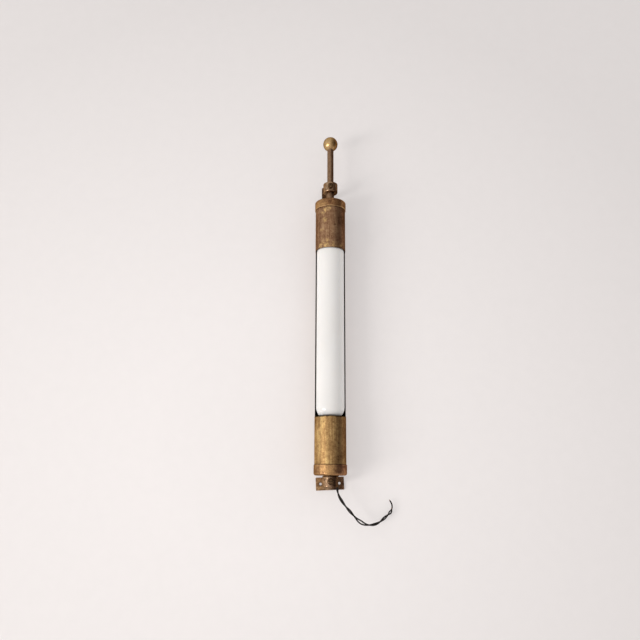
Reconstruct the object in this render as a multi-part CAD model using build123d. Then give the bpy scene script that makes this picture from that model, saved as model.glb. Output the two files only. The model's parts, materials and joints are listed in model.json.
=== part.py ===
from build123d import *
import math
import os

# Barber pole light: an upright brass tube with a window cut in its front, an opal glass cylinder
# and a lamp inside, held between two wall brackets.  Millimetres.  +Z is up, +Y goes into the wall,
# +X is to the right of someone who faces the light.  The origin is the middle of the back face of
# the lower wall plate, and the axis of the pole stands in front of it.

# ---- driving dimensions ----
AXIS_TO_WALL = 50.0
RUNNING = 0.05          # radial clearance of what turns or slides in a bore
LOOSE = 0.15            # radial clearance of pieces that push together by hand

TUBE_R = 31.75
TUBE_WALL = 1.2
TUBE_BOTTOM = 20.6
TUBE_TOP = 586.6
WINDOW_BOTTOM = 129.0
WINDOW_TOP = 479.0
WINDOW_BEHIND_AXIS = 6.0   # the cut goes this far past the middle of the tube
WINDOW_CORNER_R = 5.0

CAP_R = 33.0
CAP_SHEET = 1.5
TOP_CAP_INNER_EDGE_R = 1.2
CAP_RIM_EDGE_R = 0.5
BOTTOM_CAP_Z = 15.4
BOTTOM_CAP_RIM = 35.9
BOTTOM_CAP_EDGE_R = 4.6
BOTTOM_CAP_INNER_EDGE_R = 3.2
TOP_CAP_RIM = 571.5
TOP_CAP_Z = 589.8
TOP_CAP_EDGE_R = 2.6

PLATE_LONG = 57.15
PLATE_WIDE = 25.4
PLATE_THICK = 3.2
PLATE_CORNER_R = 1.0
PLATE_EDGE_R = 0.6
PLATE_HOLE_SPACING = 38.1
PLATE_HOLE_R = 2.65
PLATE_SINK_R = 4.2
PLATE_SINK_DEPTH = 1.5
BOTTOM_PLATE_TILT = 2.6     # degrees; its right end is the higher one
TOP_PLATE_Z = 620.4
TOP_PLATE_X = -5.7        # the upper arm leans this far to the left on its way to the wall

EYE_R = 15.5
EYE_HEIGHT = 22.0
EYE_ABOVE_PLATE = 4.1      # middle of the eye above the middle of its plate
EYE_EDGE_R = 2.2
ARM_R = 6.0
TENON_R = 4.0

PIPE_R = 6.85              # the 1/4 IPS pipe of the pivot and of the finial rod
PIPE_BORE_R = 4.6
PIVOT_NECK_R = 6.35
PIVOT_BOTTOM = -5.0
PIVOT_TOP = 40.0

STEM_R = 8.0
STEM_NECK_R = 7.5
STEM_TOP = 613.2
STEM_BOTTOM = 577.0

ROD_BOTTOM = 580.0
BALL_Z = 731.8
BALL_R = 15.9
BALL_SOCKET_DEPTH = 9.0

SCREW_R = 3.175
SCREW_TIP = 7.05           # how far the screw's tip stays from the pole's axis
SCREW_SHANK = 9.6
SCREW_HEAD_R = 6.0
SCREW_HEAD_HEIGHT = 4.2
SCREW_SLOT = 1.4
SCREW_SLOT_DEPTH = 1.6

NUT_THICK = 5.0
TOP_NUT_ACROSS = 25.0
PIVOT_NUT_ACROSS = 20.6

BUSHING_X = 13.0
BUSHING_Y = 16.0           # behind the pole's axis
BUSHING_FLANGE_R = 4.5
BUSHING_NECK_R = 3.9
BUSHING_LIP = 1.5
BUSHING_BORE_R = 2.75

SOCKET_R = 19.0
SOCKET_BOTTOM = 35.6
SOCKET_TOP = 82.0
SOCKET_CAVITY_R = 14.4
SOCKET_CAVITY_Z = 46.0
BRIDGE_R = 17.0
BRIDGE_Z = 34.0
BRIDGE_SCREW_X = 11.0
SHELL_R = 13.7
SHELL_WALL = 0.5
TERMINAL_Z = 62.0
TERMINAL_ANGLES = (26.0, 76.0)   # round from +X towards the wall
LEAD_R = 1.3
LEAD_CIRCLE_R = 21.2

LAMP_BASE_R = 13.1
LAMP_BASE_Z = 54.0
LAMP_BASE_TOP = 79.0
LAMP_NECK_R = 12.6
LAMP_R = 16.0
LAMP_SHOULDER = (84.0, 94.0)
LAMP_DOME_Z = 336.0
LAMP_WALL = 0.8

HOLDER_FLOOR_Z = 103.0
GLASS_R = 28.575
GLASS_WALL = 2.5
GLASS_NECK_R = 20.0
GLASS_BOTTOM = 105.5
GLASS_SHOULDER_R = 27.5
GLASS_SHOULDER_Z = 149.0
GLASS_TOP = 520.0

CORD_R = 2.8
# The lead leaves the cap through its bushing, drops behind the eye, hooks out to the right and
# turns up again at its bare end, close to the wall.
CORD_ROUTE = [
    (13.0, -34.0, 17.0),
    (13.2, -34.1, -1.0),
    (16.8, -33.2, -20.0),
    (27.0, -31.2, -37.5),
    (41.5, -28.7, -55.0),
    (59.0, -25.0, -74.5),
    (76.5, -20.5, -81.5),
    (97.0, -14.0, -77.0),
    (113.5, -9.5, -63.0),
    (123.5, -7.3, -54.3),
    (126.2, -6.2, -43.8),
    (121.5, -5.4, -33.0),
]


# ---- helpers ----
def rod(radius, low, high):
    """Upright round bar on the local Z axis."""
    return Pos(0, 0, (low + high) / 2) * Cylinder(radius, high - low)


def ring(outer, inner, low, high):
    """Upright tube on the local Z axis."""
    return rod(outer, low, high) - rod(inner, low - 1, high + 1)


def bar_along_y(radius, front, back, x=0.0, z=0.0):
    """Round bar that points at the wall, between two distances behind the pole's axis."""
    return Pos(x, (front + back) / 2, z) * Rot(90, 0, 0) * Cylinder(radius, back - front)


def on_pole(shape):
    """Moves a piece drawn round the local Z axis to where the pole stands."""
    return Pos(0, -AXIS_TO_WALL, 0) * shape


def outer_circle(shape, level):
    """Widest round edge at the lowest (0) or the highest (-1) level of a turned piece."""
    circles = shape.edges().filter_by(GeomType.CIRCLE).group_by(Axis.Z)[level]
    return circles.sort_by(SortBy.RADIUS)[-1]


def save(shape, node):
    export_step(shape, "parts/" + node + ".step")


def hex_nut(across, bore_r, low):
    hexagon = RegularPolygon(across / 2, 6, major_radius=False)
    return Pos(0, 0, low) * extrude(hexagon, NUT_THICK) - rod(bore_r, low - 1, low + NUT_THICK + 1)


# ---- wall brackets ----
def wall_plate(middle_x, middle_z, tilt):
    """Flat plate with a countersunk hole at each end and a hole for the arm's tenon.

    tilt is how far its right end is turned up from level, in degrees.
    """
    plate = Pos(0, -PLATE_THICK / 2, 0) * Box(PLATE_LONG, PLATE_THICK, PLATE_WIDE)
    plate = fillet(plate.edges().filter_by(Axis.Y), PLATE_CORNER_R)
    plate = fillet(plate.faces().sort_by(Axis.Y)[0].edges(), PLATE_EDGE_R)
    plate -= Pos(0, -PLATE_THICK / 2, 0) * Rot(90, 0, 0) * Cylinder(TENON_R + RUNNING, 2 * PLATE_THICK)
    sink_middle = -PLATE_THICK + PLATE_SINK_DEPTH / 2
    for side in (-1, 1):
        at_hole = Pos(side * PLATE_HOLE_SPACING / 2, 0, 0)
        plate -= at_hole * Rot(90, 0, 0) * Cylinder(PLATE_HOLE_R, 4 * PLATE_THICK)
        sink = Cone(PLATE_HOLE_R, PLATE_SINK_R, PLATE_SINK_DEPTH)
        plate -= at_hole * Pos(0, sink_middle, 0) * Rot(90, 0, 0) * sink
    return Pos(middle_x, 0, middle_z) * Rot(0, -tilt, 0) * plate


def bracket_arm(plate_x, plate_z):
    """Eye with an upright bore, and the arm that carries it, riveted through the plate."""
    middle = plate_z + EYE_ABOVE_PLATE
    low = middle - EYE_HEIGHT / 2
    high = middle + EYE_HEIGHT / 2
    eye = rod(EYE_R, low, high)
    eye = fillet(eye.edges().filter_by(GeomType.CIRCLE), EYE_EDGE_R)
    plate_face = AXIS_TO_WALL - PLATE_THICK
    arm_line = Plane(origin=(0, 0, plate_z), z_dir=(plate_x, plate_face, 0))
    arm = extrude(arm_line * Circle(ARM_R), AXIS_TO_WALL + ARM_R)
    arm -= Pos(0, plate_face + AXIS_TO_WALL, plate_z) * Box(2 * AXIS_TO_WALL, 2 * AXIS_TO_WALL, 4 * ARM_R)
    tenon = bar_along_y(TENON_R, plate_face - 1, AXIS_TO_WALL, x=plate_x, z=plate_z)
    casting = eye + arm + tenon
    casting -= rod(PIPE_R + RUNNING, low - 1, high + 1)
    casting -= bar_along_y(SCREW_R + RUNNING, -EYE_R - 2, 0, z=middle)
    return on_pole(casting)


def set_screw(plate_z, slot_angle):
    """Round-headed slotted screw through the front of the eye."""
    head_back = SCREW_TIP + SCREW_SHANK
    shank = Pos(0, 0, (SCREW_TIP + head_back) / 2) * Cylinder(SCREW_R, SCREW_SHANK)
    head = Pos(0, 0, head_back + SCREW_HEAD_HEIGHT / 2) * Cylinder(SCREW_HEAD_R, SCREW_HEAD_HEIGHT)
    head = fillet(head.edges().group_by(Axis.Z)[-1], SCREW_HEAD_HEIGHT * 0.7)
    slot_z = head_back + SCREW_HEAD_HEIGHT - SCREW_SLOT_DEPTH / 2
    slot = Pos(0, 0, slot_z) * Box(3 * SCREW_HEAD_R, SCREW_SLOT, SCREW_SLOT_DEPTH)
    screw = shank + head - Rot(0, 0, slot_angle) * slot
    return on_pole(Pos(0, 0, plate_z + EYE_ABOVE_PLATE) * Rot(90, 0, 0) * screw)


# ---- tube, caps and their fixings ----
def body_tube():
    tube = ring(TUBE_R, TUBE_R - TUBE_WALL, TUBE_BOTTOM, TUBE_TOP)
    depth = TUBE_R + WINDOW_BEHIND_AXIS + 5
    middle_y = WINDOW_BEHIND_AXIS - depth / 2
    middle_z = (WINDOW_BOTTOM + WINDOW_TOP) / 2
    window = Pos(0, middle_y, middle_z) * Box(3 * TUBE_R, depth, WINDOW_TOP - WINDOW_BOTTOM)
    back_edges = window.edges().filter_by(Axis.X).group_by(Axis.Y)[-1]
    window = fillet(back_edges, WINDOW_CORNER_R)
    return on_pole(tube - window)


def bottom_cap():
    cap = rod(CAP_R, BOTTOM_CAP_Z, BOTTOM_CAP_RIM)
    cap = fillet(cap.edges().filter_by(GeomType.CIRCLE).group_by(Axis.Z)[0], BOTTOM_CAP_EDGE_R)
    hollow = rod(TUBE_R + LOOSE, BOTTOM_CAP_Z + CAP_SHEET, BOTTOM_CAP_RIM + 1)
    inner_edge = hollow.edges().filter_by(GeomType.CIRCLE).group_by(Axis.Z)[0]
    hollow = fillet(inner_edge, BOTTOM_CAP_INNER_EDGE_R)
    cap -= hollow
    cap = fillet(outer_circle(cap, -1), CAP_RIM_EDGE_R)
    cap -= rod(PIVOT_NECK_R + RUNNING, BOTTOM_CAP_Z - 1, BOTTOM_CAP_RIM)
    cap -= Pos(BUSHING_X, BUSHING_Y, BOTTOM_CAP_Z) * Cylinder(BUSHING_NECK_R + RUNNING, 6 * CAP_SHEET)
    return on_pole(cap)


def top_cap():
    cap = rod(CAP_R, TOP_CAP_RIM, TOP_CAP_Z)
    cap = fillet(cap.edges().filter_by(GeomType.CIRCLE).group_by(Axis.Z)[-1], TOP_CAP_EDGE_R)
    hollow = rod(TUBE_R + LOOSE, TOP_CAP_RIM - 1, TOP_CAP_Z - CAP_SHEET)
    hollow = fillet(hollow.edges().filter_by(GeomType.CIRCLE).group_by(Axis.Z)[-1], TOP_CAP_INNER_EDGE_R)
    cap -= hollow
    cap = fillet(outer_circle(cap, 0), CAP_RIM_EDGE_R)
    cap -= rod(STEM_NECK_R + RUNNING, TOP_CAP_RIM, TOP_CAP_Z + 1)
    return on_pole(cap)


def top_stem():
    """Short pipe on the cap; its neck goes through the cap's top and takes the nut inside."""
    stem = rod(STEM_R, TOP_CAP_Z, STEM_TOP) + rod(STEM_NECK_R, STEM_BOTTOM, TOP_CAP_Z)
    return on_pole(stem - rod(PIPE_R + RUNNING, STEM_BOTTOM - 1, STEM_TOP + 1))


def top_locknut():
    low = TOP_CAP_Z - CAP_SHEET - NUT_THICK
    return on_pole(hex_nut(TOP_NUT_ACROSS, STEM_NECK_R + RUNNING, low))


def bottom_pivot():
    """Pipe that turns in the lower eye; its neck goes up through the cap and carries the socket."""
    pivot = rod(PIPE_R, PIVOT_BOTTOM, BOTTOM_CAP_Z) + rod(PIVOT_NECK_R, BOTTOM_CAP_Z, PIVOT_TOP)
    return on_pole(pivot - rod(PIPE_BORE_R, PIVOT_BOTTOM - 1, PIVOT_TOP + 1))


def bottom_locknut():
    return on_pole(hex_nut(PIVOT_NUT_ACROSS, PIVOT_NECK_R + RUNNING, BOTTOM_CAP_Z + CAP_SHEET))


def finial_rod():
    return on_pole(ring(PIPE_R, PIPE_BORE_R, ROD_BOTTOM, BALL_Z - BALL_R + BALL_SOCKET_DEPTH))


def finial_ball():
    ball = Pos(0, 0, BALL_Z) * Sphere(BALL_R)
    socket_top = BALL_Z - BALL_R + BALL_SOCKET_DEPTH
    return on_pole(ball - rod(PIPE_R + RUNNING, BALL_Z - BALL_R - 1, socket_top))


# ---- lamp socket and its wiring ----
def wire_bushing():
    low = BOTTOM_CAP_Z - BUSHING_LIP
    high = BOTTOM_CAP_Z + CAP_SHEET + BUSHING_LIP
    bushing = rod(BUSHING_FLANGE_R, low, BOTTOM_CAP_Z)
    bushing += rod(BUSHING_NECK_R, BOTTOM_CAP_Z, BOTTOM_CAP_Z + CAP_SHEET)
    bushing += rod(BUSHING_FLANGE_R, BOTTOM_CAP_Z + CAP_SHEET, high)
    bushing -= rod(BUSHING_BORE_R, low - 1, high + 1)
    return on_pole(Pos(BUSHING_X, BUSHING_Y, 0) * bushing)


def socket_bridge():
    """Threaded disc on the pivot's neck that the porcelain stands on."""
    bridge = ring(BRIDGE_R, PIVOT_NECK_R + RUNNING, BRIDGE_Z, SOCKET_BOTTOM)
    bridge += ring(PIVOT_NECK_R + 1.8, PIVOT_NECK_R + RUNNING, BRIDGE_Z - 6, BRIDGE_Z)
    for side in (-1, 1):
        bridge -= Pos(side * BRIDGE_SCREW_X, 0, BRIDGE_Z) * Cylinder(1.8, 12)
    return on_pole(bridge)


def socket_bridge_screws():
    """Two screws from below the bridge into the porcelain."""
    screws = []
    for side in (-1, 1):
        screw = rod(1.7, BRIDGE_Z, BRIDGE_Z + 9) + rod(2.6, BRIDGE_Z - 2, BRIDGE_Z)
        screws.append(on_pole(Pos(side * BRIDGE_SCREW_X, 0, 0) * screw))
    return Compound(screws)


def socket_body():
    """Porcelain cup for the screw shell."""
    body = rod(SOCKET_R, SOCKET_BOTTOM, SOCKET_TOP)
    body = fillet(body.edges().filter_by(GeomType.CIRCLE), 1.0)
    body -= rod(SOCKET_CAVITY_R, SOCKET_CAVITY_Z, SOCKET_TOP + 1)
    body -= rod(PIVOT_NECK_R + 0.5, SOCKET_BOTTOM - 1, PIVOT_TOP + 0.5)
    for side in (-1, 1):
        body -= Pos(side * BRIDGE_SCREW_X, 0, 0) * rod(1.75, SOCKET_BOTTOM - 1, BRIDGE_Z + 9.5)
    for angle in TERMINAL_ANGLES:
        body -= Pos(0, 0, TERMINAL_Z) * Rot(0, 0, angle) * Rot(0, 90, 0) * rod(1.55, 15, SOCKET_R + 1)
    return on_pole(body)


def socket_shell():
    return on_pole(ring(SHELL_R, SHELL_R - SHELL_WALL, SOCKET_CAVITY_Z + 4, SOCKET_TOP - 2))


def socket_contact():
    """Bent spring strip under the lamp's tip."""
    foot = Pos(3, 0, SOCKET_CAVITY_Z + 0.3) * Box(12, 5, 0.6)
    riser = Pos(8.7, 0, SOCKET_CAVITY_Z + 2.25) * Box(0.6, 5, 4.5)
    tongue = Pos(3, 0, SOCKET_CAVITY_Z + 4.2) * Box(12, 5, 0.6)
    return on_pole(foot + riser + tongue)


def terminal_screws():
    """Binding screws on the side of the porcelain, one for each lead."""
    screws = []
    for angle in TERMINAL_ANGLES:
        screw = rod(1.5, 16, SOCKET_R + 0.1) + rod(3.0, SOCKET_R + 0.1, SOCKET_R + 2.1)
        screw -= Pos(0, 0, SOCKET_R + 2.1) * Box(8, 0.8, 1.6)
        screws.append(on_pole(Pos(0, 0, TERMINAL_Z) * Rot(0, 0, angle) * Rot(0, 90, 0) * screw))
    return Compound(screws)


def internal_leads():
    """The two leads of the pair, parted inside the cap and led up to the terminals."""
    pair_angle = math.degrees(math.atan2(BUSHING_Y, BUSHING_X))
    start_z = BOTTOM_CAP_Z + CAP_SHEET + BUSHING_LIP + 0.1
    leads = []
    for angle, start_angle in zip(TERMINAL_ANGLES, (pair_angle - 4.5, pair_angle + 4.5)):
        route = []
        for turn, z in ((start_angle, start_z), (start_angle, 32), (angle, 48), (angle, 58.5)):
            a = math.radians(turn)
            route.append((LEAD_CIRCLE_R * math.cos(a), LEAD_CIRCLE_R * math.sin(a), z))
        path = FilletPolyline(*route, radius=7)
        section = Plane(origin=path @ 0, z_dir=path % 0) * Circle(LEAD_R)
        leads.append(on_pole(sweep(section, path)))
    return Compound(leads)


# ---- glass ----
def glass_holder():
    """Spun gallery: a sleeve over the porcelain and a cup for the neck of the glass."""
    holder = ring(SOCKET_R + 1.0, SOCKET_R + LOOSE, SOCKET_TOP - 10, HOLDER_FLOOR_Z)
    holder += ring(GLASS_NECK_R + 1.5, LAMP_R + 1.0, HOLDER_FLOOR_Z, HOLDER_FLOOR_Z + 1)
    holder += ring(GLASS_NECK_R + 1.5, GLASS_NECK_R + 0.6, HOLDER_FLOOR_Z + 1, HOLDER_FLOOR_Z + 14)
    return on_pole(holder)


def glass_gasket():
    return on_pole(ring(GLASS_NECK_R + 0.4, GLASS_NECK_R - GLASS_WALL, HOLDER_FLOOR_Z + 1, GLASS_BOTTOM))


def shoulder_point(radius, fraction, neck_r):
    """Point on the round shoulder: fraction 0 at the neck, 1 where the straight wall starts."""
    centre_r = GLASS_R - GLASS_SHOULDER_R
    neck_angle = math.acos((neck_r - centre_r) / radius)
    angle = neck_angle * (1 - fraction)
    return (centre_r + radius * math.cos(angle), GLASS_SHOULDER_Z - radius * math.sin(angle))


def glass_cylinder():
    """Blown cylinder whose lower end is drawn in to a neck."""
    inner_neck = GLASS_NECK_R - GLASS_WALL
    outer = [shoulder_point(GLASS_SHOULDER_R, f, GLASS_NECK_R) for f in (0, 0.5, 1)]
    inner = [shoulder_point(GLASS_SHOULDER_R - GLASS_WALL, f, inner_neck) for f in (1, 0.5, 0)]
    edges = [
        Line((inner_neck, GLASS_BOTTOM), (GLASS_NECK_R, GLASS_BOTTOM)),
        Line((GLASS_NECK_R, GLASS_BOTTOM), outer[0]),
        ThreePointArc(*outer),
        Line(outer[2], (GLASS_R, GLASS_TOP)),
        Line((GLASS_R, GLASS_TOP), (GLASS_R - GLASS_WALL, GLASS_TOP)),
        Line((GLASS_R - GLASS_WALL, GLASS_TOP), inner[0]),
        ThreePointArc(*inner),
        Line(inner[2], (inner_neck, GLASS_BOTTOM)),
    ]
    return on_pole(revolve(Plane.XZ * make_face(edges), Axis.Z))


def glass_top_ring():
    """Split spring ring that centres the top of the glass in the tube."""
    split = Pos(0, GLASS_R, GLASS_TOP - 16) * Box(4, 10, 20)
    return on_pole(ring(TUBE_R - TUBE_WALL - 0.1, GLASS_R + 0.1, GLASS_TOP - 20, GLASS_TOP - 12) - split)


# ---- lamp ----
def lamp_outline(shrink):
    """Outside of the bulb made smaller by the given amount."""
    low, high = LAMP_SHOULDER
    shape = rod(LAMP_NECK_R - shrink, 60, low)
    shape += Pos(0, 0, (low + high) / 2) * Cone(LAMP_NECK_R - shrink, LAMP_R - shrink, high - low)
    shape += rod(LAMP_R - shrink, high, LAMP_DOME_Z)
    shape += Pos(0, 0, LAMP_DOME_Z) * Sphere(LAMP_R - shrink)
    return shape


def lamp_glass():
    return on_pole(lamp_outline(0) - lamp_outline(LAMP_WALL))


def lamp_base():
    base = ring(LAMP_BASE_R, LAMP_BASE_R - 0.4, LAMP_BASE_Z, LAMP_BASE_TOP)
    base += ring(LAMP_BASE_R, 6.0, LAMP_BASE_Z, LAMP_BASE_Z + 0.6)
    return on_pole(base)


def lamp_insulator():
    return on_pole(rod(5.9, LAMP_BASE_Z - 2, LAMP_BASE_Z + 0.6))


def lamp_tip():
    return on_pole(rod(3.0, LAMP_BASE_Z - 3, LAMP_BASE_Z - 2))


def lamp_stem():
    """Glass foot that closes the neck, with the post that carries the wires."""
    flare = rod(LAMP_NECK_R - LAMP_WALL - RUNNING, 60, 62)
    return on_pole(flare + rod(4.0, 62, 108) + rod(1.5, 108, 321.5))


def lamp_filament():
    """Long hairpin filament with its leads going into the foot."""
    route = [(4.5, 0, 98), (4.5, 0, 108), (8.5, 0, 120), (8.5, 0, 322), (-8.5, 0, 322)]
    route += [(-8.5, 0, 120), (-4.5, 0, 108), (-4.5, 0, 98)]
    path = FilletPolyline(*route, radius=3)
    section = Plane(origin=path @ 0, z_dir=path % 0) * Circle(0.4)
    return on_pole(sweep(section, path))


# ---- lead ----
def corner_radii(route):
    """For every corner, the largest arc that its two runs leave room for."""
    points = [Vector(*p) for p in route]
    radii = []
    for before, corner, after in zip(points, points[1:], points[2:]):
        turn = math.radians((corner - before).get_angle(after - corner))
        shorter = min((corner - before).length, (after - corner).length)
        radii.append(0.45 * shorter / math.tan(turn / 2))
    return radii


def lead_pair():
    """The twisted pair as one plain tube: straight runs joined by tangent arcs."""
    radii = corner_radii(CORD_ROUTE)
    path = FilletPolyline(*CORD_ROUTE, radius=radii)
    section = Plane(origin=path @ 0, z_dir=path % 0) * Circle(CORD_R)
    tube = sweep(section, path)
    print("lead corner radii", [round(r, 1) for r in radii])
    print("lead length", round(path.length, 1))
    print("lead volume", round(tube.volume), "of", round(math.pi * CORD_R ** 2 * path.length))
    return tube


def main():
    os.makedirs("parts", exist_ok=True)
    save(wall_plate(0, 0, BOTTOM_PLATE_TILT), "bottom_bracket_plate")
    save(wall_plate(TOP_PLATE_X, TOP_PLATE_Z, 90), "top_bracket_plate")
    save(bracket_arm(0, 0), "bottom_bracket_arm")
    save(bracket_arm(TOP_PLATE_X, TOP_PLATE_Z), "top_bracket_arm")
    save(set_screw(0, 4), "bottom_set_screw")
    save(set_screw(TOP_PLATE_Z, 48), "top_set_screw")
    pieces = [
        body_tube, bottom_cap, top_cap, top_stem, top_locknut, bottom_pivot, bottom_locknut,
        finial_rod, finial_ball, wire_bushing, socket_bridge, socket_bridge_screws, socket_body,
        socket_shell, socket_contact, terminal_screws, internal_leads, glass_holder, glass_gasket,
        glass_cylinder, glass_top_ring, lamp_glass, lamp_base, lamp_insulator, lamp_tip, lamp_stem,
        lamp_filament, lead_pair,
    ]
    for piece in pieces:
        save(piece(), piece.__name__)


main()
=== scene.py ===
import json
import math

import bpy
from mathutils import Matrix, Vector


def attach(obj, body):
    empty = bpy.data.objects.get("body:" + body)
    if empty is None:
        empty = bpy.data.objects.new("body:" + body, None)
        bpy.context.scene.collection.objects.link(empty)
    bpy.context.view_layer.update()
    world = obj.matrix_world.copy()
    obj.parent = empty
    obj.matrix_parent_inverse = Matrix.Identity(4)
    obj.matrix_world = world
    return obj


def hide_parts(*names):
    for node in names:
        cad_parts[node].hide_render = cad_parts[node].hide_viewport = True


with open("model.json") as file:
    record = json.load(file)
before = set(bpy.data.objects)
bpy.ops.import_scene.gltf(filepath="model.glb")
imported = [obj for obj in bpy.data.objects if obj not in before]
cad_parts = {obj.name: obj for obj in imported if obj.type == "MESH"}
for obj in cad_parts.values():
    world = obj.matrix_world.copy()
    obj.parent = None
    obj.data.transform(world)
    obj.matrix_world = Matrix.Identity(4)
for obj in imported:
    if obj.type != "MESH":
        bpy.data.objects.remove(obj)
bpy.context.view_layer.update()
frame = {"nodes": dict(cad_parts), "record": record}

# ---- places, in metres ----
POLE_Y = -0.05
LIP = 0.129                  # foot of the window
CAP_RIM_LOW = 0.0359
CAP_RIM_HIGH = 0.5715
TUBE_BORE_R = 0.0311
WINDOW_CUT_Y = POLE_Y + 0.006
WINDOW_CUT_HALF = 0.00025    # half the width of the line of painted shade along the window's cut edge
BETWEEN_CAPS_Z = 0.3
BETWEEN_PLATES_Z = 0.5
PLATE_FRONT_Y = -0.0045

# ---- camera ----
CAMERA_BACK = 1.309          # from the pole's axis
CAMERA_X = -0.0215
CAMERA_Z = 0.003
CAMERA_PITCH = 14.0
CAMERA_ROLL = 0.25
FOCAL_PIXELS = 650
IMAGE_PIXELS = 640

# ---- lead ----
# The route's points repeat part.py's, in metres. All but the first two are moved by 1 to 2 mm, to
# follow the photograph.
LEAD_ROUTE = [
    (0.0130, -0.0340, 0.0170),
    (0.0132, -0.0341, -0.0010),
    (0.0150, -0.0332, -0.0200),
    (0.0255, -0.0312, -0.0375),
    (0.0405, -0.0287, -0.0545),
    (0.0585, -0.0250, -0.0734),
    (0.0757, -0.0205, -0.0798),
    (0.0955, -0.0140, -0.0763),
    (0.1118, -0.0095, -0.0628),
    (0.1220, -0.0073, -0.0543),
    (0.1247, -0.0062, -0.0438),
    (0.1200, -0.0054, -0.0330),
]
STRAND_R = 0.00140
STRAND_OFFSET = 0.00140
# Where the strands cross as seen from the front, as distances along the lead, and how far they
# stand apart half way to the next crossing.
CROSSINGS = [0.0060, 0.0354, 0.0653, 0.0896, 0.1260, 0.1500, 0.1715, 0.1845, 0.2040]
APART = [0.0014, 0.0014, 0.0015, 0.0026, 0.0014, 0.0016, 0.0020, 0.0014]
SHORT_STRAND_END = 0.1855
LEAD_STEP = 0.0007           # between the rings of a strand's mesh
CORE_R = 0.0006
CORE_INSIDE = 0.001          # how far the bare core starts inside its strand
CORE_STEP = 0.0005
CORE_POINTS = 8

# ---- colour balance of each metal: red, green, blue ----
TINTS = {
    "tube_low": (1.121, 1.245, 1.350),
    "tube_high": (1.345, 1.454, 1.833),
    "cap_brass": (1.053, 1.209, 1.185),
    "stem_brass": (1.341, 1.359, 1.533),
    "finial_brass": (0.787, 0.753, 1.059),
    "bracket_brass": (1.304, 1.445, 1.505),
    "opal_glass": (0.925, 0.917, 0.906),
}


def make_camera():
    data = bpy.data.cameras.new("camera")
    data.sensor_width = 36.0
    data.lens = data.sensor_width * FOCAL_PIXELS / IMAGE_PIXELS
    camera = bpy.data.objects.new("camera", data)
    bpy.context.scene.collection.objects.link(camera)
    place = Matrix.Translation((CAMERA_X, POLE_Y - CAMERA_BACK, CAMERA_Z))
    pitch = Matrix.Rotation(math.radians(90 + CAMERA_PITCH), 4, "X")
    roll = Matrix.Rotation(math.radians(CAMERA_ROLL), 4, "Z")
    camera.matrix_world = place @ pitch @ roll
    data.clip_start = 0.05
    bpy.context.scene.camera = camera


# ---- lead: centreline, strands ----
def route_line(route):
    """Points along the smooth line whose control points are the route."""
    data = bpy.data.curves.new("route", "CURVE")
    data.dimensions = "3D"
    data.resolution_u = 24
    spline = data.splines.new("NURBS")
    spline.points.add(len(route) - 1)
    for point, place in zip(spline.points, route):
        point.co = (*place, 1.0)
    spline.order_u = 3
    spline.use_endpoint_u = True
    curve = bpy.data.objects.new("route", data)
    bpy.context.scene.collection.objects.link(curve)
    bpy.context.view_layer.update()
    mesh = bpy.data.meshes.new_from_object(curve)
    line = [v.co.copy() for v in mesh.vertices]
    bpy.data.objects.remove(curve)
    bpy.data.curves.remove(data)
    bpy.data.meshes.remove(mesh)
    return line


def even_steps(line, step):
    """The same line with a point at every step of its length."""
    gone = [0.0]
    for a, b in zip(line, line[1:]):
        gone.append(gone[-1] + (b - a).length)
    count = max(2, round(gone[-1] / step))
    places, at = [], 0
    for i in range(count + 1):
        want = gone[-1] * i / count
        while at < len(gone) - 2 and gone[at + 1] < want:
            at += 1
        share = (want - gone[at]) / max(gone[at + 1] - gone[at], 1e-9)
        places.append((want, line[at].lerp(line[at + 1], share)))
    return places


def crossing_phase(distance):
    """Angle of the first strand round the centreline, and how far it stands from it."""
    if distance <= CROSSINGS[0]:
        return math.pi / 2, APART[0]
    for i, (a, b) in enumerate(zip(CROSSINGS, CROSSINGS[1:])):
        if distance <= b:
            share = (distance - a) / (b - a)
            swell = math.sin(math.pi * share) ** 2
            offset = STRAND_OFFSET + (APART[i] - STRAND_OFFSET) * swell
            return math.pi * (i + 0.5 + share), offset
    return math.pi * (len(CROSSINGS) - 0.5), APART[-1]


def strand_line(places, side):
    """Centreline of one strand of the pair: side is +1 or -1."""
    line = []
    for i, (distance, here) in enumerate(places):
        ahead = places[min(i + 1, len(places) - 1)][1]
        behind = places[max(i - 1, 0)][1]
        along = (ahead - behind).normalized()
        across = along.cross(Vector((0, -1, 0))).normalized()
        toward = across.cross(along).normalized()
        angle, offset = crossing_phase(distance)
        line.append(here + side * offset * (math.cos(angle) * across + math.sin(angle) * toward))
    return line


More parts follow.
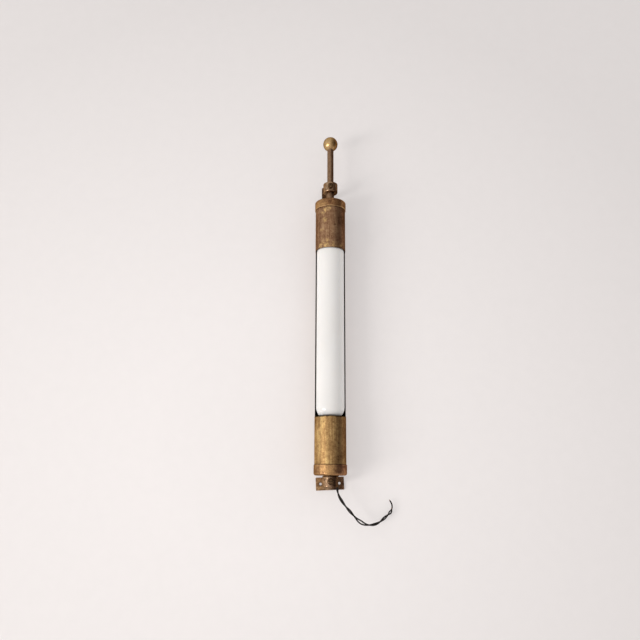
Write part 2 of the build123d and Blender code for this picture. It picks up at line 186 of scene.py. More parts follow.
def tube_mesh(name, line, radius, sides=20, end_round=0.35):
    """Closed tube round a line, with a UV map in metres along and turns around."""
    verts, faces, uvs = [], [], []
    normal = None
    length = 0.0
    rings = []
    for i, here in enumerate(line):
        ahead = line[min(i + 1, len(line) - 1)]
        behind = line[max(i - 1, 0)]
        along = (ahead - behind).normalized()
        if normal is None:
            normal = along.orthogonal().normalized()
        normal = (normal - along * normal.dot(along)).normalized()
        other = along.cross(normal)
        if i:
            length += (here - line[i - 1]).length
        rings.append((here, normal.copy(), other, along, length))
    shoulder = radius * end_round
    first, last = rings[0], rings[-1]
    start = (first[0] - first[3] * shoulder, first[1], first[2], first[3], -shoulder)
    end = (last[0] + last[3] * shoulder, last[1], last[2], last[3], last[4] + shoulder)
    radii = [radius * (1 - end_round)] + [radius] * len(rings) + [radius * (1 - end_round)]
    rings = [start] + rings + [end]
    for (here, a, b, _, _), r in zip(rings, radii):
        for k in range(sides):
            turn = 2 * math.pi * k / sides
            verts.append(here + r * (math.cos(turn) * a + math.sin(turn) * b))
    for i in range(len(rings) - 1):
        for k in range(sides):
            n = (k + 1) % sides
            faces.append((i * sides + k, i * sides + n, (i + 1) * sides + n, (i + 1) * sides + k))
            low, high = rings[i][4], rings[i + 1][4]
            uvs += [(low, k / sides), (low, (k + 1) / sides), (high, (k + 1) / sides), (high, k / sides)]
    faces.append(tuple(reversed(range(sides))))
    uvs += [(0.0, k / sides) for k in reversed(range(sides))]
    top = (len(rings) - 1) * sides
    faces.append(tuple(top + k for k in range(sides)))
    uvs += [(rings[-1][4], k / sides) for k in range(sides)]
    mesh = bpy.data.meshes.new(name)
    mesh.from_pydata([tuple(v) for v in verts], [], faces)
    layer = mesh.uv_layers.new(name="along")
    for loop, uv in zip(layer.data, uvs):
        loop.uv = uv
    for polygon in mesh.polygons:
        polygon.use_smooth = len(polygon.vertices) == 4
    mesh.validate()
    return mesh


def add_object(name, mesh, material, body):
    piece = bpy.data.objects.new(name, mesh)
    bpy.context.scene.collection.objects.link(piece)
    piece.data.materials.append(material)
    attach(piece, body)
    return piece


def join(name, pieces):
    """Makes one object of several, under a new name."""
    bpy.ops.object.select_all(action="DESELECT")
    for piece in pieces:
        piece.select_set(True)
    bpy.context.view_layer.objects.active = pieces[0]
    bpy.ops.object.join()
    pieces[0].name = name
    pieces[0].data.name = name
    return pieces[0]


def make_lead(cloth, copper):
    places = even_steps(route_line(LEAD_ROUTE), LEAD_STEP)
    strands = []
    cores = []
    for side, ends in ((1, places[-1][0]), (-1, SHORT_STRAND_END)):
        kept = [p for p in places if p[0] <= ends]
        line = strand_line(kept, side)
        name = "strand_long" if side > 0 else "strand_short"
        strands.append(add_object(name, tube_mesh(name, line, STRAND_R), cloth, "pole"))
        along = (line[-1] - line[-3]).normalized()
        start = line[-1] - along * CORE_INSIDE
        stub = [start + along * CORE_STEP * k for k in range(CORE_POINTS)]
        core = tube_mesh("core", stub, CORE_R, sides=12)
        cores.append(add_object("core", core, copper, "pole"))
    pair = join("twisted_pair", strands)
    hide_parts("lead_pair")
    core = join("lead_cores", cores)
    line = [place for _, place in places]
    return pair


# ---- material building ----
class Nodes:
    """A new material and short calls to add nodes to it."""

    def __init__(self, name):
        self.material = bpy.data.materials.new(name)
        self.material.use_nodes = True
        self.tree = self.material.node_tree
        self.shader = self.tree.nodes["Principled BSDF"]

    def add(self, kind, inputs=None, **settings):
        node = self.tree.nodes.new(kind)
        for key, value in settings.items():
            setattr(node, key, value)
        for key, value in (inputs or {}).items():
            self.put(node.inputs[key], value)
        return node

    def put(self, socket, value):
        if isinstance(value, bpy.types.NodeSocket):
            self.tree.links.new(value, socket)
        else:
            socket.default_value = value

    def set(self, **values):
        for key, value in values.items():
            self.put(self.shader.inputs[key.replace("_", " ")], value)

    def base_colour(self):
        """The socket that the base colour comes from so far."""
        return self.shader.inputs["Base Color"].links[0].from_socket

    def coords(self, scale=(1, 1, 1), offset=(0, 0, 0), kind="Object"):
        source = self.add("ShaderNodeTexCoord").outputs[kind]
        inputs = {"Vector": source, "Scale": scale, "Location": offset}
        return self.add("ShaderNodeMapping", inputs).outputs[0]

    def noise(self, where, scale, detail=6.0, rough=0.6, distort=0.0):
        inputs = {
            "Vector": where, "Scale": scale, "Detail": detail, "Roughness": rough,
            "Distortion": distort,
        }
        return self.add("ShaderNodeTexNoise", inputs).outputs["Fac"]

    def spots(self, where, scale, low, high):
        """1 in small scattered spots, 0 between them."""
        cells = self.add("ShaderNodeTexVoronoi", {"Vector": where, "Scale": scale}).outputs["Distance"]
        return self.remap(cells, low, high, 1, 0)

    def math(self, operation, a, b=0.0, clamp=False):
        node = self.add("ShaderNodeMath", operation=operation, use_clamp=clamp)
        self.put(node.inputs[0], a)
        self.put(node.inputs[1], b)
        return node.outputs[0]

    def remap(self, value, low, high, to_low=0.0, to_high=1.0):
        inputs = {"Value": value, "From Min": low, "From Max": high, "To Min": to_low, "To Max": to_high}
        return self.add("ShaderNodeMapRange", inputs).outputs[0]

    def ramp(self, value, stops):
        node = self.add("ShaderNodeValToRGB", {"Fac": value})
        elements = node.color_ramp.elements
        while len(elements) < len(stops):
            elements.new(0.5)
        for element, (place, colour) in zip(elements, stops):
            element.position = place
            element.color = (*colour, 1.0)
        return node.outputs["Color"]

    def mix(self, share, a, b, blend="MIX"):
        """Inputs 6 and 7 and output 2 are the node's colour sockets."""
        node = self.add("ShaderNodeMix", data_type="RGBA", blend_type=blend)
        self.put(node.inputs["Factor"], share)
        for socket, value in ((node.inputs[6], a), (node.inputs[7], b)):
            self.put(socket, (*value, 1.0) if isinstance(value, tuple) else value)
        return node.outputs[2]

    def bump(self, height, distance, strength=1.0, under=None):
        inputs = {"Height": height, "Distance": distance, "Strength": strength}
        if under is not None:
            inputs["Normal"] = under
        return self.add("ShaderNodeBump", inputs).outputs["Normal"]

    def corners(self, reach):
        """Near 1 in grooves and against neighbours, where shade falls, 0 on open faces."""
        node = self.add("ShaderNodeAmbientOcclusion", {"Distance": reach}, samples=8)
        return self.remap(node.outputs["AO"], 0.75, 0.35)

    def edges(self, radius):
        """Near 1 along sharp edges, 0 on flat and gently curved faces."""
        rounded = self.add("ShaderNodeBevel", {"Radius": radius}, samples=6).outputs["Normal"]
        true = self.add("ShaderNodeNewGeometry").outputs["Normal"]
        dot = self.add("ShaderNodeVectorMath", {0: rounded, 1: true}, operation="DOT_PRODUCT")
        return self.remap(dot.outputs["Value"], 0.97, 0.75, 0, 1)


# Dark colour for dirt and painted shade: in corners, at the caps' joints and along the window's lower lip.
GRIME_AND_SHADE = (0.018, 0.011, 0.007)
MOTTLE_MIDDLE = 0.505        # middle of the summed noise that picks a metal's shade


def tinted(colour, tint):
    return tuple(min(c * t, 1.0) for c, t in zip(colour, tint))


def aged_brass(name, dark, mid, light, bright, seed, tone=0.0, streaks=0.25, rough=(0.30, 0.55),
               edge_rub_and_highlight=0.7, dents=0.00012, spot_share=0.6, tint=(1.0, 1.0, 1.0),
               edge_tint=(0.55, 0.46, 0.38), spread=0.16, edge_rub_and_highlight_reach=0.0007):
    """Old brass: mottled patina, drawn streaks, dark specks, small dents, worn edges that also carry a
    painted highlight, and dirt with painted shade in grooves and against neighbours.
    """
    n = Nodes(name)
    dark, mid, light, bright = (tinted(c, tint) for c in (dark, mid, light, bright))
    where = n.coords(offset=(seed, seed * 0.7, seed * 1.3))
    along = n.coords(scale=(1, 1, 0.045), offset=(seed * 2, seed, 0))
    big = n.noise(where, 32, 5, 0.55, 0.3)
    middle = n.noise(where, 150, 9, 0.72, 0.4)
    fine = n.noise(where, 520, 6, 0.72)
    drawn = n.noise(along, 420, 5, 0.6)
    total = n.math("MULTIPLY", big, 0.30)
    total = n.math("ADD", total, n.math("MULTIPLY", middle, 0.42))
    total = n.math("ADD", total, n.math("MULTIPLY", fine, 0.28 - streaks * 0.2))
    total = n.math("ADD", total, n.math("MULTIPLY", n.math("SUBTRACT", drawn, 0.5), streaks))
    total = n.math("ADD", total, tone)
    shade = n.remap(total, MOTTLE_MIDDLE - spread, MOTTLE_MIDDLE + spread)
    colour = n.ramp(shade, [(0.0, dark), (0.36, mid), (0.66, light), (1.0, bright)])
    specks = n.math("MULTIPLY", n.spots(where, 240, 0.10, 0.22), n.remap(middle, 0.45, 0.6))
    colour = n.mix(n.math("MULTIPLY", specks, spot_share), colour, dark)
    blots = n.math("MULTIPLY", n.spots(where, 85, 0.10, 0.26), n.remap(big, 0.50, 0.60))
    colour = n.mix(n.math("MULTIPLY", blots, spot_share), colour, dark)
    # Bright worn edges, which are also a painted highlight where edges catch the light.
    worn = n.math("MULTIPLY", n.edges(edge_rub_and_highlight_reach), n.remap(middle, 0.3, 0.6))
    colour = n.mix(n.math("MULTIPLY", worn, edge_rub_and_highlight), colour, bright)
    # Dirt and painted shade in grooves and against neighbouring parts.
    corner_grime_and_shade = n.math("MULTIPLY", n.corners(0.005), n.remap(middle, 0.25, 0.5, 0.7, 1.0))
    colour = n.mix(n.math("MULTIPLY", corner_grime_and_shade, 0.92), colour, GRIME_AND_SHADE)
    n.set(Base_Color=colour, Metallic=1.0, Specular_Tint=(*edge_tint, 1.0))
    low, high = rough
    grain = n.math("ADD", n.math("MULTIPLY", middle, 0.6), n.math("MULTIPLY", fine, 0.4))
    n.set(Roughness=n.remap(grain, 0.38, 0.62, high, low))
    normal = n.bump(n.noise(where, 60, 3, 0.5), dents)
    normal = n.bump(fine, 0.00003, 0.7, normal)
    normal = n.bump(drawn, 0.00002, streaks * 2, normal)
    n.set(Normal=normal)
    return n


# Worn golden patches on the front of the tube: x, z and reach.
WORN_PATCHES = [
    (-0.009, 0.487, 0.014), (0.006, 0.484, 0.010), (0.020, 0.487, 0.007), (-0.020, 0.485, 0.008),
    (-0.012, 0.560, 0.011), (-0.013, 0.541, 0.007), (-0.003, 0.566, 0.006), (-0.018, 0.520, 0.005),
]

# The tube's tarnish: heights where it starts to turn brown and is all brown, how far that wanders,
# and the tones that it is multiplied by.
BROWN_START, BROWN_END = 0.16, 0.44
BROWN_WANDER = 0.14
TUBE_BROWN = (0.50, 0.42, 0.44)
TUBE_WORN = (0.74, 0.50, 0.22)
# The tube's painted shade down its right side: distances right of the axis, share, and tones low and high
# up.
TUBE_SIDE_START, TUBE_SIDE_END = 0.004, 0.030
TUBE_SIDE_SHARE = 0.9
TUBE_SIDE_SHADE_LOW = (0.42, 0.36, 0.38)
TUBE_SIDE_SHADE_HIGH = (0.52, 0.45, 0.46)
# Painted shade, with dirt, inside the tube and on the window's cut edge.
TUBE_INSIDE_SHADE_AND_DIRT = (0.035, 0.027, 0.022)


def tube_brass():
    """The long tube: brown at the top, golden at the bottom, with painted shade down its right side, dark
    lines at the caps' joints and the window's lip, and near black inside from painted shade and dirt.
    """
    n = aged_brass(
        "tube_brass", (0.16, 0.078, 0.028), (0.38, 0.205, 0.080), (0.60, 0.37, 0.145),
        (0.86, 0.60, 0.27), seed=3.1, streaks=0.32, rough=(0.33, 0.56), spot_share=0.7,
        tint=TINTS["tube_low"],
    )
    colour = n.base_colour()
    position = n.add("ShaderNodeTexCoord").outputs["Object"]
    split = n.add("ShaderNodeSeparateXYZ", {0: position})
    height = split.outputs["Z"]
    wobble = n.math("MULTIPLY", n.math("SUBTRACT", n.noise(position, 30, 4, 0.6), 0.5), BROWN_WANDER)
    up = n.remap(n.math("ADD", height, wobble), BROWN_START, BROWN_END)
    patina = n.mix(1.0, colour, tinted(TUBE_BROWN, TINTS["tube_high"]), "MULTIPLY")
    flecks = n.remap(n.noise(position, 130, 6, 0.7, 0.6), 0.47, 0.60)
    worn = None
    for x, z, reach in WORN_PATCHES:
        offset = n.add("ShaderNodeCombineXYZ", {
            0: n.math("SUBTRACT", split.outputs["X"], x), 1: n.math("SUBTRACT", height, z),
        })
        away = n.add("ShaderNodeVectorMath", {0: offset.outputs[0]}, operation="LENGTH").outputs["Value"]
        patch = n.remap(away, reach, reach * 0.4)
        worn = patch if worn is None else n.math("MAXIMUM", worn, patch)
    front = n.math("LESS_THAN", split.outputs["Y"], POLE_Y)
    worn = n.math("MULTIPLY", n.math("MULTIPLY", worn, front), flecks, clamp=True)
    patina = n.mix(worn, patina, TUBE_WORN)
    colour = n.mix(up, colour, patina)
    # Painted shade down the tube's right side.
    across = n.math("ADD", split.outputs["X"], n.math("MULTIPLY", wobble, 0.06))
    shade = n.math("MULTIPLY", n.remap(across, TUBE_SIDE_START, TUBE_SIDE_END), TUBE_SIDE_SHARE)
    tone = n.mix(up, TUBE_SIDE_SHADE_LOW, TUBE_SIDE_SHADE_HIGH)
    colour = n.mix(shade, colour, n.mix(1.0, colour, tone, "MULTIPLY"))
    # A dark line along each cap's joint with the tube.
    low_joint = n.remap(height, CAP_RIM_LOW + 0.0016, CAP_RIM_LOW + 0.0006)
    high_joint = n.remap(height, CAP_RIM_HIGH - 0.0024, CAP_RIM_HIGH - 0.0013)
    joint = n.math("MAXIMUM", low_joint, n.math("MULTIPLY", high_joint, 0.6))
    joint = n.math("MULTIPLY", joint, n.remap(flecks, 0.0, 1.0, 0.92, 0.6))
    colour = n.mix(joint, colour, GRIME_AND_SHADE)
    # A broken dark line along the front of the window's lower lip.
    from_lip = n.math("ABSOLUTE", n.math("SUBTRACT", height, LIP - 0.0005))
    broken = n.math("MULTIPLY", front, n.remap(flecks, 0.0, 1.0, 0.9, 0.35))
    lip = n.math("MULTIPLY", n.remap(from_lip, 0.0014, 0.0007), broken)
    colour = n.mix(lip, colour, GRIME_AND_SHADE)
    # Painted shade, with dirt, inside the tube and on the window's cut edge.
    from_axis = n.math("SUBTRACT", split.outputs["Y"], POLE_Y)
    radial = n.add("ShaderNodeCombineXYZ", {0: split.outputs["X"], 1: from_axis})
    radius = n.add("ShaderNodeVectorMath", {0: radial.outputs[0]}, operation="LENGTH").outputs["Value"]
    inside = n.math("LESS_THAN", radius, TUBE_BORE_R)
    from_cut = n.math("ABSOLUTE", n.math("SUBTRACT", split.outputs["Y"], WINDOW_CUT_Y))
    cut_edge = n.math("LESS_THAN", from_cut, WINDOW_CUT_HALF)
    colour = n.mix(n.math("MAXIMUM", inside, cut_edge), colour, TUBE_INSIDE_SHADE_AND_DIRT)
    n.set(Base_Color=colour)
    return n.material


SIDE_WANDER = 0.6            # how far the edge of a painted side tone wanders, as a share of its width


def paint_light_and_shade_across(n, start, end, tone):
    """Paints light and shade across a metal's side: multiplies its colour by a tone, none of it at x =
    start, and all of it at x = end; a tone below 1 is painted shade, above 1 painted light.
    """
    colour = n.base_colour()
    position = n.add("ShaderNodeTexCoord").outputs["Object"]
    across = n.add("ShaderNodeSeparateXYZ", {0: position}).outputs["X"]
    wander = n.math("MULTIPLY", n.noise(position, 60, 4, 0.6), SIDE_WANDER * (end - start))
    shade = n.remap(n.math("ADD", across, wander), start, end)
    n.set(Base_Color=n.mix(shade, colour, n.mix(1.0, colour, tone, "MULTIPLY")))
    return n.material


# Tones of painted shade on the caps' right sides, and the colour of the upper rim's worn edge and painted
# highlight.
UPPER_CAP_SHADE = (0.74, 0.68, 0.70)
LOWER_CAP_SHADE = (0.86, 0.78, 0.92)
RIM_RUB_AND_HIGHLIGHT = (0.80, 0.52, 0.26)


def cap_brass():
    """The two spun caps: coppery, with painted shade that makes the upper one browner and the lower one
    purple on its right; the upper rim is worn and painted with a highlight.
    """
    n = aged_brass(
        "cap_brass", (0.055, 0.024, 0.012), (0.27, 0.125, 0.060), (0.60, 0.31, 0.135),
        (0.95, 0.62, 0.32), seed=7.7, streaks=0.12, tone=-0.005, rough=(0.30, 0.50),
        tint=TINTS["cap_brass"], spread=0.21, spot_share=0.4,
    )
    colour = n.base_colour()
    position = n.add("ShaderNodeTexCoord").outputs["Object"]
    split = n.add("ShaderNodeSeparateXYZ", {0: position})
    upper = n.math("GREATER_THAN", split.outputs["Z"], BETWEEN_CAPS_Z)
    # Painted shade over the upper cap, all but its left side.
    brown = n.mix(1.0, colour, UPPER_CAP_SHADE, "MULTIPLY")
    shade = n.math("MULTIPLY", upper, n.remap(split.outputs["X"], -0.014, -0.004))
    colour = n.mix(shade, colour, brown)
    # The upper rim: worn, and a painted highlight along it.
    from_rim = n.math("ABSOLUTE", n.math("SUBTRACT", split.outputs["Z"], CAP_RIM_HIGH + 0.0006))
    patchy = n.remap(n.noise(position, 90, 4, 0.6), 0.35, 0.5, 0.35, 1.0)
    rim = n.math("MULTIPLY", n.remap(from_rim, 0.0016, 0.0007), patchy)
    colour = n.mix(n.math("MULTIPLY", rim, 0.55), colour, RIM_RUB_AND_HIGHLIGHT)
    # Painted shade on the lower cap's right side.
    purple = n.mix(1.0, colour, LOWER_CAP_SHADE, "MULTIPLY")
    lower = n.math("SUBTRACT", 1.0, upper)
    shade = n.math("MULTIPLY", lower, n.remap(split.outputs["X"], 0.006, 0.018))
    n.set(Base_Color=n.mix(shade, colour, purple))
    return n.material


# Tone of the painted shade over the upper wall plate.
UPPER_PLATE_SHADE = (0.36, 0.31, 0.30)


def bracket_brass():
    """The wall plates, arms and eyes: dark brown with bright worn edges that also carry painted highlights,
    painted shade on the right, painted light on the left, and the upper plate darkest under painted shade.
    """
    n = aged_brass(
        "bracket_brass", (0.030, 0.016, 0.010), (0.155, 0.085, 0.050), (0.36, 0.22, 0.13),
        (0.85, 0.66, 0.42), seed=9.2, streaks=0.06, tone=-0.01, rough=(0.24, 0.48), dents=0.0003,
        tint=TINTS["bracket_brass"], edge_rub_and_highlight=0.95, edge_rub_and_highlight_reach=0.0012,
    )
    # Painted shade on the right side, and painted light on the left side.
    paint_light_and_shade_across(n, 0.004, 0.013, (0.50, 0.42, 0.39))
    paint_light_and_shade_across(n, -0.011, -0.019, (1.45, 1.35, 1.10))
    # Painted shade over the upper wall plate.
    split = n.add("ShaderNodeSeparateXYZ", {0: n.add("ShaderNodeTexCoord").outputs["Object"]})
    high = n.math("GREATER_THAN", split.outputs["Z"], BETWEEN_PLATES_Z)
    plate = n.math("MULTIPLY", high, n.math("GREATER_THAN", split.outputs["Y"], PLATE_FRONT_Y))
    colour = n.base_colour()
    n.set(Base_Color=n.mix(plate, colour, n.mix(1.0, colour, UPPER_PLATE_SHADE, "MULTIPLY")))
    return n.material


def opal_glass():
    n = Nodes("opal_glass")
    where = n.coords()
    tall = n.coords(scale=(1, 1, 0.15))
    cloud = n.noise(where, 9, 4, 0.55)
    smear = n.noise(tall, 70, 5, 0.6)
    dust = n.spots(where, 300, 0.05, 0.12)
    colour = n.mix(n.remap(cloud, 0.35, 0.65), (0.86, 0.855, 0.845), (0.905, 0.90, 0.89))
    colour = n.mix(n.math("MULTIPLY", n.remap(smear, 0.55, 0.75), 0.12), colour, (0.70, 0.67, 0.62))
    colour = n.mix(n.math("MULTIPLY", dust, 0.10), colour, (0.45, 0.40, 0.34))
    colour = n.mix(1.0, colour, TINTS["opal_glass"], "MULTIPLY")
    # Painted shade, with dirt, in corners and against neighbouring parts.
    colour = n.mix(n.math("MULTIPLY", n.corners(0.005), 0.8), colour, (0.12, 0.08, 0.05))
    # A painted shadow of the tube's lip on the glass just above it, with dirt.
    height = n.add("ShaderNodeSeparateXYZ", {0: n.add("ShaderNodeTexCoord").outputs["Object"]}).outputs["Z"]
    wander = n.math("MULTIPLY", n.math("SUBTRACT", cloud, 0.5), 0.004)
    by_lip = n.remap(n.math("ADD", height, wander), LIP + 0.0036, LIP + 0.0018)
    colour = n.mix(n.math("MULTIPLY", by_lip, 0.8), colour, (0.11, 0.075, 0.05))
    roughness = n.remap(smear, 0.35, 0.7, 0.06, 0.22)
    n.set(Base_Color=colour, Roughness=roughness, IOR=1.5, Subsurface_Weight=0.25, Subsurface_Scale=0.004)
    n.set(Subsurface_Radius=(1.0, 0.9, 0.8), Normal=n.bump(n.noise(tall, 14, 3, 0.5), 0.00025))
    return n.material


BRAID_PITCH = 0.0021
BRAID_TURNS = 6


def cloth_lead():
    """Dark braided cotton over rubber, from a UV map in metres along and turns around."""
    n = Nodes("cloth_lead")
    uv = n.add("ShaderNodeTexCoord").outputs["UV"]
    split = n.add("ShaderNodeSeparateXYZ", {0: uv})
    along = n.math("MULTIPLY", split.outputs["X"], 2 * math.pi / BRAID_PITCH)
    around = n.math("MULTIPLY", split.outputs["Y"], 2 * math.pi * BRAID_TURNS)
    one = n.math("SINE", n.math("ADD", along, around))
    two = n.math("SINE", n.math("SUBTRACT", along, around))
    weave = n.remap(n.math("MAXIMUM", one, two), -0.2, 1.0)
    where = n.coords()
    dirt = n.noise(where, 160, 6, 0.6)
    fibre = n.noise(where, 2600, 4, 0.7)
    colour = n.mix(weave, (0.004, 0.003, 0.003), (0.020, 0.016, 0.013))
    colour = n.mix(n.math("MULTIPLY", n.remap(dirt, 0.5, 0.72), 0.5), colour, (0.060, 0.043, 0.030))
    colour = n.mix(n.math("MULTIPLY", n.remap(fibre, 0.58, 0.72), 0.25), colour, (0.07, 0.058, 0.046))
    n.set(Base_Color=colour, Roughness=n.remap(fibre, 0.3, 0.7, 0.72, 0.95))
    n.set(Sheen_Weight=0.04, Sheen_Roughness=0.5, Specular_IOR_Level=0.25)
    n.set(Normal=n.bump(fibre, 0.00008, 0.6, n.bump(weave, 0.00018)))
    return n.material


def dull_copper():
    n = Nodes("dull_copper")
    where = n.coords()
    tone = n.noise(where, 900, 5, 0.6)
    colour = n.ramp(n.remap(tone, 0.35, 0.65), [
        (0.0, (0.10, 0.045, 0.025)), (0.5, (0.32, 0.15, 0.08)), (1.0, (0.6, 0.32, 0.18)),
    ])
    n.set(Base_Color=colour, Metallic=1.0, Roughness=n.remap(tone, 0.3, 0.7, 0.55, 0.3))
    n.set(Normal=n.bump(tone, 0.00003))
    return n.material


def glazed_porcelain():
    n = Nodes("glazed_porcelain")
    where = n.coords()
    cloud = n.noise(where, 60, 5, 0.6)
    colour = n.mix(n.remap(cloud, 0.35, 0.7), (0.80, 0.77, 0.70), (0.90, 0.88, 0.83))
    specks = n.spots(where, 500, 0.04, 0.09)
    colour = n.mix(n.math("MULTIPLY", specks, 0.5), colour, (0.20, 0.14, 0.09))
    n.set(Base_Color=colour, Roughness=n.remap(cloud, 0.3, 0.7, 0.12, 0.3), Coat_Weight=0.4)
    n.set(Normal=n.bump(cloud, 0.0001))
    return n.material


def plain_rubber(name, low, high):
    n = Nodes(name)
    where = n.coords()
    grain = n.noise(where, 900, 6, 0.65)
    bloom = n.noise(where, 110, 4, 0.6)
    colour = n.mix(n.remap(bloom, 0.4, 0.7), low, high)
    n.set(Base_Color=colour, Roughness=n.remap(bloom, 0.35, 0.65, 0.55, 0.8), Normal=n.bump(grain, 0.00006))
    return n.material


def lamp_parts_glass(name, colour, weight):
    n = Nodes(name)
    where = n.coords()
    frost = n.noise(where, 700, 5, 0.6)
    n.set(Base_Color=n.mix(n.remap(frost, 0.3, 0.7), colour, (0.97, 0.97, 0.96)))
    n.set(Roughness=n.remap(frost, 0.3, 0.7, 0.2, 0.4))
    n.set(Transmission_Weight=weight, IOR=1.5, Normal=n.bump(frost, 0.00003))
    return n.material


def grey_metal(name, low, high, seed):
    n = Nodes(name)
    where = n.coords(offset=(seed, seed, 0))
    tone = n.noise(where, 300, 6, 0.6)
    lines = n.noise(n.coords(scale=(1, 1, 0.05)), 900, 4, 0.6)
    colour = n.mix(n.remap(tone, 0.35, 0.65), low, high)
    n.set(Base_Color=colour, Metallic=1.0, Roughness=n.remap(lines, 0.3, 0.7, 0.45, 0.25))
    n.set(Normal=n.bump(lines, 0.00002))
    return n.material


def slot_materials():
    """One material for every material slot of the record."""
    return {
        "tube_brass": tube_brass(),
        "cap_brass": cap_brass(),
        # The rod: painted shade down its right side.
        "stem_brass": paint_light_and_shade_across(aged_brass(
            "stem_brass", (0.085, 0.048, 0.026), (0.19, 0.115, 0.062), (0.31, 0.20, 0.110),
            (0.60, 0.42, 0.24), seed=1.9, streaks=0.16, tone=-0.01, rough=(0.36, 0.62), spread=0.2,
            spot_share=0.35, tint=TINTS["stem_brass"],
        ), 0.001, 0.0055, (0.50, 0.43, 0.42)),
        # The ball: painted shade on its right side.
        "finial_brass": paint_light_and_shade_across(aged_brass(
            "finial_brass", (0.10, 0.055, 0.015), (0.46, 0.30, 0.08), (0.78, 0.56, 0.20),
            (0.98, 0.82, 0.45), seed=5.3, streaks=0.05, tone=0.03, rough=(0.27, 0.46), dents=0.00025,
            tint=TINTS["finial_brass"], edge_tint=(0.22, 0.15, 0.08), spread=0.2, spot_share=0.4,
        ), 0.002, 0.014, (0.52, 0.42, 0.34)),
        "bracket_brass": bracket_brass(),
        "screw_brass": aged_brass(
            "screw_brass", (0.022, 0.012, 0.007), (0.115, 0.066, 0.035), (0.28, 0.175, 0.092),
            (0.70, 0.52, 0.30), seed=4.4, streaks=0.05, tone=-0.02, rough=(0.3, 0.55),
        ).material,
        "plain_brass": aged_brass(
            "plain_brass", (0.16, 0.09, 0.03), (0.45, 0.30, 0.11), (0.70, 0.52, 0.24),
            (0.92, 0.76, 0.45), seed=6.6, streaks=0.05, rough=(0.25, 0.45),
        ).material,
        "steel": grey_metal("steel", (0.35, 0.34, 0.33), (0.62, 0.61, 0.60), 2.0),
        "porcelain": glazed_porcelain(),
        "opal_glass": opal_glass(),
        "lamp_glass": lamp_parts_glass("lamp_glass", (0.90, 0.90, 0.88), 0.6),
        "clear_glass": lamp_parts_glass("clear_glass", (0.93, 0.95, 0.95), 0.9),
        "lamp_aluminium": grey_metal("lamp_aluminium", (0.55, 0.55, 0.56), (0.78, 0.78, 0.79), 8.0),
        "lamp_vitrite": plain_rubber("lamp_vitrite", (0.006, 0.006, 0.007), (0.02, 0.02, 0.022)),
        "bushing_rubber": plain_rubber("bushing_rubber", (0.010, 0.009, 0.008), (0.040, 0.036, 0.032)),
        "gasket_rubber": plain_rubber("gasket_rubber", (0.12, 0.115, 0.11), (0.22, 0.21, 0.20)),
        "cloth_lead": cloth_lead(),
    }


def dress_nodes(materials):
    """Gives every CAD node the material of its slot."""
    for part in frame["record"]["subparts"]:
        piece = frame["nodes"][part["node"]]
        piece.data.materials.clear()
        piece.data.materials.append(materials[part["material_slot"]])


# ---- stage and light ----
# The wall's paint, its glow of painted light, and how paint and glow fade as a painted pool of light: the
# brightest place, and the distances from there.
WALL_PAINT = (0.535, 0.512, 0.506)
WALL_GLOW = 0.66
WALL_BRIGHTEST = (-0.14, 0.0, 0.10)
FADE_START, FADE_END, FADE_TO = 0.25, 1.05, 0.86

# The key light: the way it travels, how far off it stands, its size in metres and its watts.
KEY_TRAVEL = (0.736, 0.56, 0.38)
KEY_DISTANCE = 4.2
KEY_SIZE = (2.2, 1.2)
KEY_POWER = 124
KEY_COLOUR = (1.0, 0.97, 0.94)

# The surroundings: a plain colour, and what glossy faces reflect, from the left (0) to the right (1).
ROOM = (0.76, 0.75, 0.745, 1)
REFLECTED_LEFT = (0.0, (0.78, 0.76, 0.74, 1))
REFLECTED_MIDDLE = (0.50, (0.78, 0.75, 0.72, 1))
REFLECTED_RIGHT = (0.95, (0.10, 0.085, 0.078, 1))


def one_sided(name, colour, glow):
    """Matt paint that is clear from behind, so that the object shows from every side, with a glow of
    painted light that fades away from the brightest place.
    """
    n = Nodes(name)
    grain = n.noise(n.coords(), 40, 5, 0.6)
    shade = tuple(c * 0.985 for c in colour)
    place = n.add("ShaderNodeTexCoord").outputs["Object"]
    away = n.add("ShaderNodeVectorMath", {0: place, 1: WALL_BRIGHTEST}, operation="DISTANCE")
    fade = n.remap(away.outputs["Value"], FADE_START, FADE_END, 1.0, FADE_TO)
    paint = n.mix(n.remap(grain, 0.3, 0.7), shade, colour)
    faded = n.add("ShaderNodeVectorMath", {0: paint}, operation="SCALE")
    n.put(faded.inputs["Scale"], fade)
    n.set(Base_Color=faded.outputs[0], Roughness=0.95, Specular_IOR_Level=0.2)
    n.set(Emission_Color=faded.outputs[0], Emission_Strength=glow)
    clear = n.add("ShaderNodeBsdfTransparent").outputs[0]
    behind = n.add("ShaderNodeNewGeometry").outputs["Backfacing"]
    mixed = n.add("ShaderNodeMixShader", {0: behind, 1: n.shader.outputs[0], 2: clear})
    n.put(n.tree.nodes["Material Output"].inputs["Surface"], mixed.outputs[0])
    return n.material


def sheet_object(name, corners, material):
    mesh = bpy.data.meshes.new(name)
    mesh.from_pydata(corners, [], [(0, 1, 2, 3)])
    piece = bpy.data.objects.new(name, mesh)
    piece.data.materials.append(material)
    bpy.context.scene.collection.objects.link(piece)
    return piece


def make_stage():
    reach, wall_y, floor_z = 4.0, 0.0012, -1.5
    paint = one_sided("stage_paint", WALL_PAINT, WALL_GLOW)
    sheet_object("wall", [
        (-reach, wall_y, floor_z), (reach, wall_y, floor_z),
        (reach, wall_y, reach), (-reach, wall_y, reach),
    ], paint)
    sheet_object("floor", [
        (-reach, -2 * reach, floor_z), (reach, -2 * reach, floor_z),
        (reach, wall_y, floor_z), (-reach, wall_y, floor_z),
    ], paint)


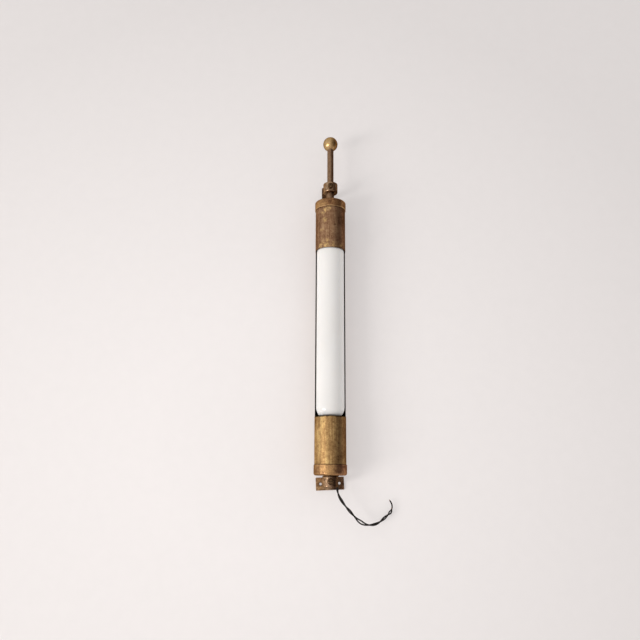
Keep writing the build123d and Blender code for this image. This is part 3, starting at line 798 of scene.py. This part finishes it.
def area_light(name, place, target, size, power, colour):
    data = bpy.data.lights.new(name, "AREA")
    data.shape = "RECTANGLE"
    data.size, data.size_y = size
    data.energy = power
    data.color = colour
    lamp = bpy.data.objects.new(name, data)
    direction = Vector(target) - Vector(place)
    lamp.matrix_world = Matrix.Translation(place) @ direction.to_track_quat("-Z", "Y").to_matrix().to_4x4()
    bpy.context.scene.collection.objects.link(lamp)
    return lamp


def make_light():
    middle = (0.0, POLE_Y, 0.30)
    key_place = Vector(middle) - Vector(KEY_TRAVEL) * KEY_DISTANCE
    area_light("key", key_place, middle, KEY_SIZE, KEY_POWER, KEY_COLOUR)
    world = bpy.data.worlds.new("studio")
    world.use_nodes = True
    tree = world.node_tree
    tree.nodes.clear()
    out = tree.nodes.new("ShaderNodeOutputWorld")
    back = tree.nodes.new("ShaderNodeBackground")
    path = tree.nodes.new("ShaderNodeLightPath")
    plain = tree.nodes.new("ShaderNodeBackground")
    direction = tree.nodes.new("ShaderNodeTexCoord")
    split = tree.nodes.new("ShaderNodeSeparateXYZ")
    side = tree.nodes.new("ShaderNodeMapRange")
    ramp = tree.nodes.new("ShaderNodeValToRGB")
    mixed = tree.nodes.new("ShaderNodeMixShader")
    tree.links.new(direction.outputs["Generated"], split.inputs[0])
    tree.links.new(split.outputs["X"], side.inputs["Value"])
    side.inputs["From Min"].default_value = -1.0
    side.inputs["From Max"].default_value = 1.0
    tree.links.new(side.outputs[0], ramp.inputs["Fac"])
    ramp.color_ramp.interpolation = "EASE"
    elements = ramp.color_ramp.elements
    elements[0].position, elements[0].color = REFLECTED_LEFT
    elements[1].position, elements[1].color = REFLECTED_RIGHT
    place, colour = REFLECTED_MIDDLE
    elements.new(place).color = colour
    tree.links.new(ramp.outputs["Color"], back.inputs["Color"])
    plain.inputs["Color"].default_value = ROOM
    tree.links.new(path.outputs["Is Glossy Ray"], mixed.inputs["Fac"])
    tree.links.new(plain.outputs[0], mixed.inputs[1])
    tree.links.new(back.outputs[0], mixed.inputs[2])
    tree.links.new(mixed.outputs[0], out.inputs["Surface"])
    bpy.context.scene.world = world


make_camera()
materials = slot_materials()
make_lead(materials["cloth_lead"], dull_copper())
dress_nodes(materials)
make_stage()
make_light()
bpy.context.scene.view_settings.view_transform = "Standard"
